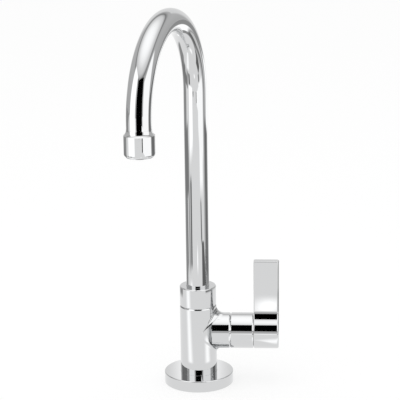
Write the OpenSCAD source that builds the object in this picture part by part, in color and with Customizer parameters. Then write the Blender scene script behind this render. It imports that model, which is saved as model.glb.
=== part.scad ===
// Tall basin tap with a swivelling gooseneck spout and a side lever.
// Origin: centre of the flange's underside, on the deck. +Z up, +X along the side branch, -Y to the front.

/* [Foot flange] */
// Diameter of the flange
flange_d = 57.8; // [54:0.2:64]
// Height of the flange above the deck
flange_h = 9.5; // [8:0.5:12]
// Radius of the flange's upper edge
flange_edge_r = 0.8; // [0.4:0.1:1.5]
// Middle diameter of the gasket ring
gasket_d = 45; // [43:0.5:47]

/* [Body] */
// Diameter of the vertical barrel
body_d = 30.5; // [30.2:0.1:32]
// Height of the barrel's upper shoulder above the deck
body_top_z = 67.5; // [66:0.5:72]
// Diameter of the side branch
branch_d = 29.9; // [29:0.1:30]
// Height of the side branch's axis
branch_z = 44.9; // [43:0.1:46]
// Distance of the branch's end face from the barrel's axis
branch_end_x = 27; // [26.5:0.5:32]
// Radius of the fillet on top of the branch
fillet_top_r = 7; // [5:0.5:8]
// Radius of the fillet below the branch
fillet_bottom_r = 4.5; // [3.5:0.5:6]
// Length of the chamfers that form the fine grooves at the joints
groove_half_w = 0.9; // [0.5:0.1:1.2]
// Depth of those grooves
groove_depth = 0.45; // [0.2:0.05:0.6]

/* [Spout] */
// Diameter of the bent tube
tube_d = 19; // [18:0.5:20]
// Wall thickness of the bent tube
tube_wall = 1.2; // [0.8:0.1:1.6]
// Distance from the riser's axis to the outlet's axis
spout_reach = 130.8; // [110:0.2:150]
// Height at which the bend begins
bend_start_z = 248.5; // [246:0.5:300]
// Direction of the spout as stored, measured from +X
spout_turn = -104.4; // [-180:0.1:180]
// Diameter of the spout nut
nut_d = 30.3; // [30:0.1:32]
// Height of the spout nut
nut_h = 16.8; // [16:0.1:20]

/* [Outlet] */
// Diameter of the outlet collar
outlet_d = 23.4; // [23:0.1:26]
// Height of the outlet's lower rim above the deck
outlet_z = 223.1; // [220:0.1:224]
// Straight length of the outlet collar
outlet_h = 16.3; // [15.5:0.1:18]
// Length of the concave neck above it
outlet_neck_h = 4.2; // [3:0.1:5]
// Radius of the outlet's lower edge
outlet_edge_r = 2.8; // [0.5:0.1:3]

/* [Lever] */
// Length of the fixed sleeve between the branch and the hub
sleeve_l = 19.3; // [19:0.1:22]
// Width of the turning hub and of the blade
hub_w = 20.9; // [20:0.1:24]
// Thickness of the blade at its upper end
blade_t = 7; // [5:0.5:9]
// Angle by which each face of the blade spreads towards the hub
blade_taper = 4; // [0:0.5:5]
// Height of the blade's upper end above the hub's axis
blade_rise = 61; // [50:0.5:75]
// Radius where the blade's faces meet the hub
blade_fillet_r = 13; // [6:0.5:14]
// Radius of the hub's outer edge
hub_edge_r = 1.6; // [0.5:0.1:2]
// Chamfer along the blade's edges
blade_chamfer = 0.6; // [0.3:0.1:1]

/* [Deck fixing] */
// Thickness of the deck that is clamped
deck_t = 20; // [5:1:30]
// Length of the shank below the deck's upper face
shank_l = 58; // [56:1:70]
// Outer diameter of the shank's thread
shank_d = 20.9; // [20.7:0.1:21]
// Bore of the shank
shank_bore_d = 12; // [10:0.5:13]
// Length of the free threaded end that takes the supply hose
tail_l = 21; // [18:1:24]

/* [Hidden] */
$fn = 72;

// Fits
thread_gap = 0.03;
seat_gap = 0.05;
swivel_gap = 0.05;
stem_gap = 0.05;
face_gap = 0.03;
cut = 1;

// Foot of the body in the flange
body_r = body_d / 2;
recess_depth = 1;
spigot_r = 13.5;
spigot_bottom_z = 0.6;
gasket_w = 5;
gasket_h = 1.5;
flange_foot_chamfer = 0.4;

// Shank and clamp under the deck
shank_r = shank_d / 2;
shank_top_z = 14;
plenum_r = 9.2;
plenum_h = 4;
clamp_r = 18;
clamp_hole_gap = 0.15;
rubber_washer_h = 3;
steel_washer_h = 1.5;
fixing_nut_h = 8;
fixing_nut_flats = 30;
shank_end_chamfer = 1;
relief_w = 1.5;
relief_depth = 1;

// Waterways in the body
inlet_bore_r = 4.5;
inlet_bore_x = -7.3;
port_r = 5;
outlet_bore_r = 4.2;
outlet_bore_x = 7;

// Swivel joint, from the socket's floor upwards
socket_r = 10.8;
socket_floor_z = body_top_z - 9.3;
neck_r = 13;
neck_h = 8.2;
neck_top_z = body_top_z + neck_h;
slip_washer_h = 0.8;
shoulder_r = 12.5;
shoulder_z = neck_top_z + slip_washer_h + face_gap;
shoulder_h = 3;
upper_washer_z = shoulder_z + shoulder_h + face_gap;
nut_lip_z = upper_washer_z + slip_washer_h;
nut_top_z = body_top_z + nut_h;
nut_top_chamfer = 0.8;
nut_edge_chamfer = 0.6;

// Ferrule and its two seals
ferrule_r = socket_r - swivel_gap;
ferrule_bottom_z = socket_floor_z + 2.8;
ferrule_bore_r = 6;
seal_groove_r = 8.85;
seal_groove_h = 2.2;
seal_section_r = 0.93;
seal_lower_z = ferrule_bottom_z + 2.6;
seal_pitch = 4.2;
tube_seat_z = seal_lower_z + seal_pitch + 2.4;

// Bent tube
tube_r = tube_d / 2;
tube_bore_r = tube_r - tube_wall;
bend_r = spout_reach / 2;
outlet_x = spout_reach;

// Outlet and aerator, from the rim upwards
outlet_r = outlet_d / 2;
outlet_top_z = outlet_z + outlet_h;
aerator_r = 9.9;
aerator_rim_z = outlet_z + 0.5;
aerator_wall = 1.3;
aerator_lip_h = 1;
aerator_lip_w = 0.6;
aerator_h = 9.4;
screen_h = 0.6;
screen_hole_r = 0.5;
screen_pitch = 1.55;
screen_rings = 4;
core_plate_h = 1.4;
core_h = 6;
core_hole_r = 0.8;
core_hole_count = 12;
core_rib_count = 16;
core_rib_t = 0.7;
aerator_washer_h = 1.8;
aerator_ledge_z = aerator_rim_z + aerator_h + aerator_washer_h;
tube_end_z = aerator_ledge_z + 1.6;
key_notch_w = 2;
key_notch_count = 4;

// Valve cartridge, measured along the branch from the barrel's axis
seat_x = 4;
seal_t = 1.6;
chamber_r = 10.2;
cartridge_x = seat_x + seal_t;
cartridge_foot_r = 8.9;
cartridge_lip = 1;
disc_bore_r = 8;
disc_t = 2.5;
disc_r = disc_bore_r - stem_gap;
disc_web = 2.4;
disc_hub_r = 1.6;
disc_port_r = 6.3;
fixed_disc_x = cartridge_x + cartridge_lip;
moving_disc_x = fixed_disc_x + disc_t + face_gap;
dog_x = moving_disc_x + disc_t + face_gap;
dog_l = 4.2;
dog_w = 6.4;
dog_flange_l = 1.3;
stem_x = dog_x + dog_l + dog_flange_l;
disc_bore_end_x = stem_x + 0.2;
window_w = 9;
thread_x = branch_end_x - 9.5;
thread_r = 10.4;
flange_t = 2.6;
cartridge_flats_r = 12;
sleeve_thread_r = 8.5;
sleeve_thread_x = branch_end_x + 3.6;
sleeve_thread_l = 6.4;
neck_tip_r = 6.3;
neck_tip_x = branch_end_x + sleeve_l + 0.7;

// Stem and its seals
stem_r = 4;
stem_bore_r = stem_r + stem_gap;
stem_groove_r = 2.65;
stem_groove_w = 1.6;
stem_seal_r = 0.67;
stem_seal_inner_x = branch_end_x - 6;
stem_seal_outer_x = branch_end_x + 1;
clip_x = neck_tip_x + 0.1;
clip_t = 0.8;
clip_groove_r = 3.3;
clip_r = 5.6;
clip_open_angle = 60;
spline_count = 20;
spline_depth = 0.35;
spline_gap = 0.03;
spline_l = 10;

// Sleeve and lever
branch_r = branch_d / 2;
sleeve_end_x = branch_end_x + sleeve_l;
sleeve_wall = 1.8;
hub_gap = 0.25;
hub_x = sleeve_end_x + hub_gap;
hub_end_x = hub_x + hub_w;
hub_recess_r = 11.5;
hub_recess_l = 5;
spline_x = hub_x + hub_recess_l;
stem_end_x = spline_x + spline_l - 0.5;
grub_r = 2.5;
grub_l = 7;
grub_socket_r = 1.45;
grub_socket_depth = 3;
grub_x = spline_x + spline_l / 2;
blade_root_steps = 12;
blade_root_sink = 0.01;

// Root fillet between the barrel and the branch
fillet_slices = 48;
fillet_steps = 8;
fillet_sink = 0.04;
fillet_side_sink = 0.3;
fillet_root_inset = 1.6;

// Shared shapes

module ring(r_outer, r_inner, h) {
    difference() {
        cylinder(r = r_outer, h = h);
        translate([0, 0, -cut]) cylinder(r = r_inner, h = h + 2 * cut);
    }
}

module torus(r_middle, r_section) {
    rotate_extrude() translate([r_middle, 0]) circle(r = r_section);
}

// Round bar whose two ends are chamfered by a radial width w over a length h
module chamfered_bar(r, z0, z1, low_w, low_h, high_w, high_h) {
    rotate_extrude()
        polygon([
            [0, z0], [r - low_w, z0], [r, z0 + low_h],
            [r, z1 - high_h], [r - high_w, z1], [0, z1]
        ]);
}

// Lays a shape turned about Z along the branch: its z becomes the distance from the barrel's axis
module on_branch_axis() {
    translate([0, 0, branch_z]) rotate([0, 90, 0]) children();
}

// Places a shape drawn with the spout along +X in the spout's stored direction
module on_spout() {
    rotate([0, 0, spout_turn]) children();
}

module at_outlet(z) {
    on_spout() translate([outlet_x, 0, z]) children();
}

// Outline of a splined bar
function spline_point(i, r) =
    let (a = i * 180 / spline_count, tip = (i % 2 == 0) ? r : r - spline_depth)
    [tip * cos(a), tip * sin(a)];

module spline_outline(r) {
    polygon([for (i = [0 : 2 * spline_count - 1]) spline_point(i, r)]);
}

// Sector of a ring, centred on the first axis
module port_sector(r_inner, r_outer, half_angle, h) {
    rotate([0, 0, -half_angle])
        rotate_extrude(angle = 2 * half_angle)
            translate([r_inner, 0]) square([r_outer - r_inner, h]);
}

// Root fillet: in each plane through the branch's axis an arc touches the branch's straight side and
// the ellipse in which that plane cuts the barrel. t is the distance from the branch's axis.

function fillet_r(a) =
    (fillet_top_r + fillet_bottom_r) / 2 + (fillet_top_r - fillet_bottom_r) / 2 * cos(a);

// Sine of the ellipse's angle at the contact t
function contact_sine(s, t) = t * s / body_r;

function normal_length(s, t) = sqrt(1 - pow(contact_sine(s, t), 2) * (1 - s * s));

// Contact on the barrel, found by repeated substitution
function barrel_contact(s, rho, t, n) =
    n == 0 ? t
    : barrel_contact(s, rho, (branch_r + rho) / (1 + rho * s * s / (body_r * normal_length(s, t))), n - 1);

function sink_at(s) = fillet_sink + fillet_side_sink * pow(s, 16);

// Points of one slice as [x, t]: the arc with sunk ends, and a root point inside the metal
function slice_points(a) =
    let (
        s = abs(sin(a)),
        rho = fillet_r(a),
        t = barrel_contact(s, rho, branch_r + rho, 12),
        w = contact_sine(s, t),
        x = body_r * sqrt(1 - w * w),
        n = normal_length(s, t),
        nx = sqrt(1 - w * w) / n,
        nt = s * w / n,
        centre = [x + rho * nx, branch_r + rho],
        start = 180 + atan2(nt, nx),
        sink = sink_at(s)
    )
    concat(
        [for (k = [0 : fillet_steps])
            let (
                b = start + (270 - start) * k / fillet_steps,
                r = rho + ((k == 0 || k == fillet_steps) ? sink : sink - fillet_sink)
            )
            centre + r * [cos(b), sin(b)]],
        [[x - fillet_root_inset, branch_r - fillet_root_inset]]
    );

// The slice turned into place about the branch's axis
function slice_in_place(a) = [for (p = slice_points(a)) [p[0], p[1] * sin(a), p[1] * cos(a)]];

module root_fillet() {
    n = fillet_steps + 2;
    points = [for (i = [0 : fillet_slices - 1]) each slice_in_place(360 * i / fillet_slices)];
    faces = [
        for (i = [0 : fillet_slices - 1], j = [0 : n - 1])
            let (
                i2 = (i + 1) % fillet_slices,
                j2 = (j + 1) % n
            )
            each [
                [i * n + j, i2 * n + j, i2 * n + j2],
                [i * n + j, i2 * n + j2, i * n + j2]
            ]
    ];
    translate([0, 0, branch_z]) polyhedron(points = points, faces = faces);
}

// Foot

module base_flange() {
    flange_r = flange_d / 2;
    color("gainsboro") difference() {
        union() {
            rotate_extrude() polygon([
                [0, 0], [flange_r - flange_foot_chamfer, 0], [flange_r, flange_foot_chamfer],
                [flange_r, flange_h - flange_edge_r], [flange_r - flange_edge_r, flange_h - flange_edge_r],
                [flange_r - flange_edge_r, flange_h], [0, flange_h]
            ]);
            translate([0, 0, flange_h - flange_edge_r]) torus(flange_r - flange_edge_r, flange_edge_r);
        }
        translate([0, 0, -cut]) cylinder(r = spigot_r + seat_gap, h = flange_h + 2 * cut);
        translate([0, 0, flange_h - recess_depth]) cylinder(r = body_r + seat_gap, h = recess_depth + cut);
        translate([0, 0, -cut]) ring(gasket_d / 2 + gasket_w / 2, gasket_d / 2 - gasket_w / 2, gasket_h + cut);
    }
}

module base_gasket() {
    color("dimgray") ring(gasket_d / 2 + gasket_w / 2, gasket_d / 2 - gasket_w / 2, gasket_h);
}

// Body

module tap_body() {
    color("gainsboro") difference() {
        union() {
            chamfered_bar(body_r, flange_h - recess_depth, body_top_z, 0, 0, groove_depth, groove_half_w);
            translate([0, 0, spigot_bottom_z]) cylinder(r = spigot_r, h = flange_h);
            translate([0, 0, body_top_z - cut]) cylinder(r = neck_r, h = neck_h + cut);
            on_branch_axis() chamfered_bar(branch_r, 0, branch_end_x, 0, 0, groove_depth, groove_half_w);
            root_fillet();
        }
        // Socket of the shank and the chamber above it
        translate([0, 0, spigot_bottom_z - cut])
            cylinder(r = shank_r + thread_gap, h = shank_top_z - spigot_bottom_z + cut);
        translate([0, 0, shank_top_z - cut]) cylinder(r = plenum_r, h = plenum_h + cut);
        // Inlet way up to the valve seat
        translate([inlet_bore_x, 0, shank_top_z]) cylinder(r = inlet_bore_r, h = branch_z - shank_top_z);
        translate([inlet_bore_x, 0, branch_z]) sphere(r = inlet_bore_r);
        translate([inlet_bore_x, 0, branch_z]) rotate([0, 90, 0]) cylinder(r = inlet_bore_r, h = 12);
        on_branch_axis() translate([0, 0, seat_x - 4]) cylinder(r = port_r, h = 5);
        // Valve chamber and its threaded mouth
        on_branch_axis() translate([0, 0, seat_x]) cylinder(r = chamber_r, h = branch_end_x);
        on_branch_axis() translate([0, 0, thread_x]) cylinder(r = thread_r + thread_gap, h = branch_end_x);
        // Outlet way up to the swivel socket
        translate([outlet_bore_x, 0, branch_z]) cylinder(r = outlet_bore_r, h = socket_floor_z - branch_z + cut);
        translate([0, 0, socket_floor_z]) cylinder(r = socket_r, h = neck_top_z);
    }
}

// Shank and deck clamp

module threaded_shank() {
    color("darkgoldenrod") translate([0, 0, -shank_l]) difference() {
        chamfered_bar(
            shank_r, 0, shank_l + shank_top_z,
            shank_end_chamfer, shank_end_chamfer, shank_end_chamfer, shank_end_chamfer
        );
        translate([0, 0, -cut]) cylinder(d = shank_bore_d, h = shank_l + shank_top_z + 2 * cut);
        // Relief groove where the hose end's thread stops
        translate([0, 0, shank_end_chamfer + tail_l])
            ring(shank_r + cut, shank_r - relief_depth, relief_w);
    }
}

module deck_rubber_washer() {
    color("dimgray") translate([0, 0, -deck_t - rubber_washer_h])
        ring(clamp_r, shank_r + clamp_hole_gap, rubber_washer_h);
}

module deck_steel_washer() {
    color("silver") translate([0, 0, -deck_t - rubber_washer_h - steel_washer_h])
        ring(clamp_r, shank_r + clamp_hole_gap, steel_washer_h);
}

module fixing_nut() {
    hex_r = fixing_nut_flats / 2 / cos(30);
    color("darkgoldenrod")
        translate([0, 0, -deck_t - rubber_washer_h - steel_washer_h - fixing_nut_h]) difference() {
            intersection() {
                cylinder(r = hex_r, h = fixing_nut_h, $fn = 6);
                chamfered_bar(hex_r - 0.2, 0, fixing_nut_h, 1.6, 1, 1.6, 1);
            }
            translate([0, 0, -cut]) cylinder(r = shank_r + thread_gap, h = fixing_nut_h + 2 * cut);
        }
}

// Swivel joint of the spout

module spout_nut() {
    nut_r = nut_d / 2;
    color("gainsboro") difference() {
        chamfered_bar(
            nut_r, body_top_z, nut_top_z,
            groove_depth, groove_half_w, nut_edge_chamfer, nut_edge_chamfer
        );
        translate([0, 0, body_top_z - cut]) cylinder(r = neck_r + thread_gap, h = nut_lip_z - body_top_z + cut);
        cylinder(r = tube_r + swivel_gap, h = nut_top_z + cut);
    }
}

module lower_slip_washer() {
    color("white") translate([0, 0, neck_top_z]) ring(neck_r - 0.2, socket_r + 0.1, slip_washer_h);
}

module upper_slip_washer() {
    color("white") translate([0, 0, upper_washer_z]) ring(neck_r - 0.2, tube_r + 0.4, slip_washer_h);
}

module spout_ferrule() {
    color("goldenrod") difference() {
        union() {
            translate([0, 0, ferrule_bottom_z]) cylinder(r = ferrule_r, h = shoulder_z - ferrule_bottom_z + cut);
            translate([0, 0, shoulder_z]) cylinder(r = shoulder_r, h = shoulder_h);
        }
        translate([0, 0, ferrule_bottom_z - cut]) cylinder(r = ferrule_bore_r, h = shoulder_z);
        translate([0, 0, tube_seat_z]) cylinder(r = tube_r + thread_gap, h = shoulder_z);
        for (i = [0, 1])
            translate([0, 0, seal_lower_z + i * seal_pitch - seal_groove_h / 2])
                ring(socket_r + cut, seal_groove_r, seal_groove_h);
    }
}

module spout_oring_lower() {
    color("black") translate([0, 0, seal_lower_z]) torus(seal_groove_r + seal_section_r, seal_section_r);
}

module spout_oring_upper() {
    color("black") translate([0, 0, seal_lower_z + seal_pitch])
        torus(seal_groove_r + seal_section_r, seal_section_r);
}

// Gooseneck: riser, half-circle bend and short front leg, as one bar of radius r
module gooseneck(r, z_foot, z_end) {
    translate([0, 0, z_foot]) cylinder(r = r, h = bend_start_z - z_foot);
    translate([bend_r, 0, bend_start_z]) rotate([90, 0, 0])
        rotate_extrude(angle = 180) translate([bend_r, 0]) circle(r = r);
    translate([outlet_x, 0, z_end]) cylinder(r = r, h = bend_start_z - z_end);
}

module spout_tube() {
    color("gainsboro") on_spout() difference() {
        gooseneck(tube_r, tube_seat_z, tube_end_z);
        gooseneck(tube_bore_r, tube_seat_z - cut, tube_end_z - cut);
    }
}

// Outlet

// Outer outline of the outlet collar above z = 0, as a solid bar
module outlet_bar() {
    neck_w = outlet_r - tube_r - 0.15;
    neck_arc_r = (neck_w * neck_w + outlet_neck_h * outlet_neck_h) / (2 * neck_w);
    difference() {
        union() {
            translate([0, 0, outlet_edge_r]) cylinder(r = outlet_r, h = outlet_h - outlet_edge_r);
            cylinder(r = outlet_r - outlet_edge_r, h = outlet_h);
            translate([0, 0, outlet_edge_r]) torus(outlet_r - outlet_edge_r, outlet_edge_r);
            translate([0, 0, outlet_h - cut]) cylinder(r = outlet_r, h = outlet_neck_h + cut);
        }
        translate([0, 0, outlet_h + outlet_neck_h])
            torus(outlet_r - neck_w + neck_arc_r, neck_arc_r);
    }
}

module outlet_collar() {
    color("gainsboro") at_outlet(outlet_z) difference() {
        outlet_bar();
        translate([0, 0, -cut]) cylinder(r = aerator_r, h = aerator_ledge_z - outlet_z + cut);
        cylinder(r = tube_bore_r, h = outlet_h + outlet_neck_h + cut);
        translate([0, 0, tube_end_z - outlet_z]) cylinder(r = tube_r + thread_gap, h = outlet_h);
    }
}

module aerator_housing() {
    r = aerator_r - thread_gap;
    color("silver") at_outlet(aerator_rim_z) difference() {
        cylinder(r = r, h = aerator_h);
        translate([0, 0, aerator_lip_h]) cylinder(r = r - aerator_wall, h = aerator_h);
        translate([0, 0, -cut]) cylinder(r = r - aerator_wall - aerator_lip_w, h = aerator_h);
        for (i = [0 : key_notch_count - 1])
            rotate([0, 0, i * 360 / key_notch_count])
                translate([r - aerator_wall - aerator_lip_w - cut, -key_notch_w / 2, -cut])
                    cube([aerator_lip_w + cut + 0.8, key_notch_w, cut + aerator_lip_h / 2]);
    }
}

module aerator_screen() {
    r = aerator_r - thread_gap - aerator_wall - seat_gap;
    color("lightgray") at_outlet(aerator_rim_z + aerator_lip_h) difference() {
        cylinder(r = r, h = screen_h);
        translate([0, 0, -cut]) cylinder(r = screen_hole_r, h = screen_h + 2 * cut);
        for (k = [1 : screen_rings], i = [0 : 6 * k - 1])
            rotate([0, 0, i * 60 / k]) translate([k * screen_pitch, 0, -cut])
                cylinder(r = screen_hole_r, h = screen_h + 2 * cut, $fn = 16);
    }
}

module aerator_core() {
    r = aerator_r - thread_gap - aerator_wall - seat_gap;
    color("whitesmoke") at_outlet(aerator_rim_z + aerator_lip_h + screen_h) union() {
        difference() {
            cylinder(r = r, h = core_h);
            translate([0, 0, -cut]) cylinder(r = r - 1, h = core_h - core_plate_h + cut);
            for (i = [0 : core_hole_count - 1])
                rotate([0, 0, i * 360 / core_hole_count]) translate([r - 3, 0, 0])
                    cylinder(r = core_hole_r, h = core_h + cut, $fn = 16);
        }
        cylinder(r = 2, h = core_h - core_plate_h + cut / 2);
        for (i = [0 : core_rib_count - 1])
            rotate([0, 0, (i + 0.5) * 360 / core_rib_count])
                translate([r - 1.5, -core_rib_t / 2, 0])
                    cube([1, core_rib_t, core_h - core_plate_h + cut / 2]);
    }
}

module aerator_washer() {
    color("dimgray") at_outlet(aerator_rim_z + aerator_h) ring(aerator_r - 0.1, 6.2, aerator_washer_h);
}

// Valve cartridge

module cartridge_seal() {
    color("dimgray") on_branch_axis() translate([0, 0, seat_x]) ring(cartridge_foot_r, port_r + 0.4, seal_t);
}

module cartridge_body() {
    color("goldenrod") on_branch_axis() difference() {
        union() {
            translate([0, 0, cartridge_x]) cylinder(r = cartridge_foot_r, h = branch_end_x - cartridge_x);
            translate([0, 0, thread_x]) cylinder(r = thread_r, h = branch_end_x - thread_x);
            translate([0, 0, branch_end_x]) cylinder(r = cartridge_flats_r, h = flange_t, $fn = 6);
            translate([0, 0, branch_end_x])
                cylinder(r = sleeve_thread_r, h = sleeve_thread_x + sleeve_thread_l - branch_end_x);
            translate([0, 0, branch_end_x]) cylinder(r = neck_tip_r, h = neck_tip_x - branch_end_x);
        }
        // Inlet hole, disc bore and stem bore
        translate([0, 0, cartridge_x - cut]) cylinder(r = port_r + 0.8, h = cartridge_lip + 2 * cut);
        translate([0, 0, fixed_disc_x]) cylinder(r = disc_bore_r, h = disc_bore_end_x - fixed_disc_x);
        translate([0, 0, cartridge_x]) cylinder(r = stem_bore_r, h = neck_tip_x);
        // Side windows beyond the discs
        translate([-cartridge_foot_r - cut, -window_w / 2, dog_x + 0.2])
            cube([2 * cartridge_foot_r + 2 * cut, window_w, thread_x - dog_x - 0.6]);
    }
}

// Ceramic disc with two opposite ports
module ceramic_disc(r) {
    difference() {
        cylinder(r = r, h = disc_t);
        for (side = [0, 180])
            rotate([0, 0, side]) translate([0, 0, -cut])
                port_sector(disc_hub_r + disc_web / 2, disc_port_r, 38, disc_t + 2 * cut);
    }
}

module fixed_disc() {
    color("white") on_branch_axis() translate([0, 0, fixed_disc_x]) ceramic_disc(disc_r);
}

// The moving disc rests a quarter turn from the fixed one: the valve is shut
module moving_disc() {
    color("ivory") on_branch_axis() translate([0, 0, moving_disc_x]) rotate([0, 0, 90]) ceramic_disc(disc_r);
}

module cartridge_spindle() {
    color("goldenrod") on_branch_axis() difference() {
        union() {
            intersection() {
                translate([0, 0, dog_x]) cylinder(r = disc_bore_r - 2 * stem_gap, h = dog_l + cut / 2);
                translate([-dog_w / 2, -disc_bore_r, dog_x]) cube([dog_w, 2 * disc_bore_r, dog_l + cut / 2]);
            }
            translate([0, 0, dog_x + dog_l]) cylinder(r = disc_bore_r - 2 * stem_gap, h = dog_flange_l);
            translate([0, 0, stem_x - cut]) cylinder(r = stem_r, h = spline_x - stem_x + cut);
            translate([0, 0, spline_x - cut]) linear_extrude(height = stem_end_x - spline_x + cut)
                spline_outline(stem_r - 0.02);
        }
        for (x = [stem_seal_inner_x, stem_seal_outer_x])
            translate([0, 0, x - stem_groove_w / 2]) ring(stem_r + cut, stem_groove_r, stem_groove_w);
        translate([0, 0, clip_x - 0.05]) ring(stem_r + cut, clip_groove_r, clip_t + 0.1);
    }
}

module stem_oring(x) {
    on_branch_axis() translate([0, 0, x]) torus(stem_groove_r + stem_seal_r + 0.02, stem_seal_r);
}

module spindle_oring_inner() {
    color("black") stem_oring(stem_seal_inner_x);
}

module spindle_oring_outer() {
    color("black") stem_oring(stem_seal_outer_x);
}

module spindle_clip() {
    color("silver") on_branch_axis() translate([0, 0, clip_x])
        rotate([0, 0, clip_open_angle / 2]) rotate_extrude(angle = 360 - clip_open_angle)
            translate([clip_groove_r + 0.03, 0]) square([clip_r - clip_groove_r - 0.03, clip_t]);
}

// Sleeve and lever

module valve_sleeve() {
    land_end_x = sleeve_thread_x + sleeve_thread_l;
    color("gainsboro") on_branch_axis() difference() {
        chamfered_bar(
            branch_r, branch_end_x, sleeve_end_x,
            groove_depth, groove_half_w, groove_depth, groove_half_w
        );
        translate([0, 0, branch_end_x - cut])
            cylinder(r = branch_r - sleeve_wall, h = sleeve_thread_x - branch_end_x + cut);
        translate([0, 0, branch_end_x]) cylinder(r = sleeve_thread_r + thread_gap, h = sleeve_l);
        translate([0, 0, land_end_x]) cylinder(r = branch_r - sleeve_wall, h = sleeve_l);
    }
}

// Side outline of the blade above the hub's axis: tapered faces, and an arc between each face and the hub.
// The arc's centre lies fillet_off from the face's line, measured across it, and fillet_up along it.
module blade_outline() {
    c = blade_chamfer;
    half_t = blade_t / 2;
    rho = blade_fillet_r;
    face = [cos(blade_taper), sin(blade_taper)];
    along = [-sin(blade_taper), cos(blade_taper)];
    fillet_off = rho + half_t * face[0] + blade_rise * face[1];
    fillet_up = sqrt(pow(branch_r - blade_root_sink + rho, 2) - fillet_off * fillet_off);
    centre = fillet_off * face + fillet_up * along;
    first = 180 + blade_taper;
    last = 180 + atan2(centre[1], centre[0]);
    arc = [
        for (k = [0 : blade_root_steps])
            let (a = first + (last - first) * k / blade_root_steps) centre + rho * [cos(a), sin(a)]
    ];
    side = concat([[half_t - c, blade_rise], [half_t + c * tan(blade_taper), blade_rise - c]], arc, [[0, 0]]);
    polygon(concat(side, [for (i = [len(side) - 2 : -1 : 0]) [-side[i][0], side[i][1]]]));
}

// Blade with its width along X from 0 to hub_w, its side edges chamfered
module blade() {
    c = blade_chamfer;
    intersection() {
        rotate([90, 0, 90]) linear_extrude(height = hub_w) blade_outline();
        translate([0, branch_r, 0]) rotate([90, 0, 0]) linear_extrude(height = 2 * branch_r) polygon([
            [0, 0], [hub_w - hub_edge_r, 0], [hub_w - hub_edge_r, branch_r], [hub_w, branch_r + hub_edge_r],
            [hub_w, blade_rise - c], [hub_w - c, blade_rise], [c, blade_rise], [0, blade_rise - c],
            [0, branch_r], [c, branch_r - c], [c, 0]
        ]);
    }
}

module lever_handle() {
    color("gainsboro") difference() {
        union() {
            on_branch_axis() translate([0, 0, hub_x])
                chamfered_bar(branch_r, 0, hub_w - hub_edge_r, groove_depth, groove_half_w, 0, 0);
            on_branch_axis() translate([0, 0, hub_end_x - hub_edge_r - cut])
                cylinder(r = branch_r - hub_edge_r, h = hub_edge_r + cut);
            on_branch_axis() translate([0, 0, hub_end_x - hub_edge_r]) torus(branch_r - hub_edge_r, hub_edge_r);
            translate([hub_x, 0, branch_z]) blade();
        }
        on_branch_axis() translate([0, 0, hub_x - cut]) cylinder(r = hub_recess_r, h = hub_recess_l + cut);
        on_branch_axis() translate([0, 0, spline_x - cut]) linear_extrude(height = spline_l + cut)
            spline_outline(stem_r + spline_gap);
        translate([grub_x, 0, branch_z - branch_r - cut]) cylinder(r = grub_r + thread_gap, h = branch_r - 1);
    }
}

module grub_screw() {
    color("dimgray") translate([grub_x, 0, branch_z - stem_r - thread_gap - grub_l]) difference() {
        cylinder(r = grub_r, h = grub_l);
        translate([0, 0, -cut]) cylinder(r = grub_socket_r, h = grub_socket_depth + cut, $fn = 6);
    }
}

base_flange();
base_gasket();
tap_body();
threaded_shank();
deck_rubber_washer();
deck_steel_washer();
fixing_nut();
spout_nut();
lower_slip_washer();
upper_slip_washer();
spout_tube();
spout_ferrule();
spout_oring_lower();
spout_oring_upper();
outlet_collar();
aerator_housing();
aerator_core();
aerator_screen();
aerator_washer();
cartridge_seal();
cartridge_body();
fixed_disc();
moving_disc();
cartridge_spindle();
spindle_oring_inner();
spindle_oring_outer();
spindle_clip();
valve_sleeve();
lever_handle();
grub_screw();
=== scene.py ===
import math

import bmesh
import bpy
from bpy.props import FloatProperty, FloatVectorProperty, PointerProperty
from mathutils import Matrix, Vector


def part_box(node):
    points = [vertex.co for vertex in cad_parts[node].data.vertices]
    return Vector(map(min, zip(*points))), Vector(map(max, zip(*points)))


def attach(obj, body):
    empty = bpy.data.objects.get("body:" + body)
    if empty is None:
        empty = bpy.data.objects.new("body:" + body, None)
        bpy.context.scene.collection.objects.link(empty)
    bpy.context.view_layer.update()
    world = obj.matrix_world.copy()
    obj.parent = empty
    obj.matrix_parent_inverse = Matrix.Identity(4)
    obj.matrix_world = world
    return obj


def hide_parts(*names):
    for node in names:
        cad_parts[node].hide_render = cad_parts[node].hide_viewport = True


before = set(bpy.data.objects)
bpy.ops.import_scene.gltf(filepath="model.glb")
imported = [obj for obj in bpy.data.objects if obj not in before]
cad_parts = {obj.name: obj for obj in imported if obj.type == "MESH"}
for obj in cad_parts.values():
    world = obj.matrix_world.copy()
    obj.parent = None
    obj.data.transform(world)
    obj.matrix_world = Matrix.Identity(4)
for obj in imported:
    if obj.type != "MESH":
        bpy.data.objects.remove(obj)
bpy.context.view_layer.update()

bl_info = {
    "name": "Tall basin tap",
    "version": (1, 0, 0),
    "blender": (4, 5, 0),
    "location": "3D View > Sidebar > Tap",
    "description": "Builds the polished pieces of a tall basin tap around its fixed frame, and the studio around it",
    "category": "Object",
}

MM = 0.001

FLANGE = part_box("base_flange")
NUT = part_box("spout_nut")
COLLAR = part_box("outlet_collar")
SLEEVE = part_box("valve_sleeve")
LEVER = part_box("lever_handle")
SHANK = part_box("threaded_shank")
COLLAR_AXIS = (COLLAR[0] + COLLAR[1]) / 2

RIGHT = Vector((1, 0, 0))
UP = Vector((0, 0, 1))

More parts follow.
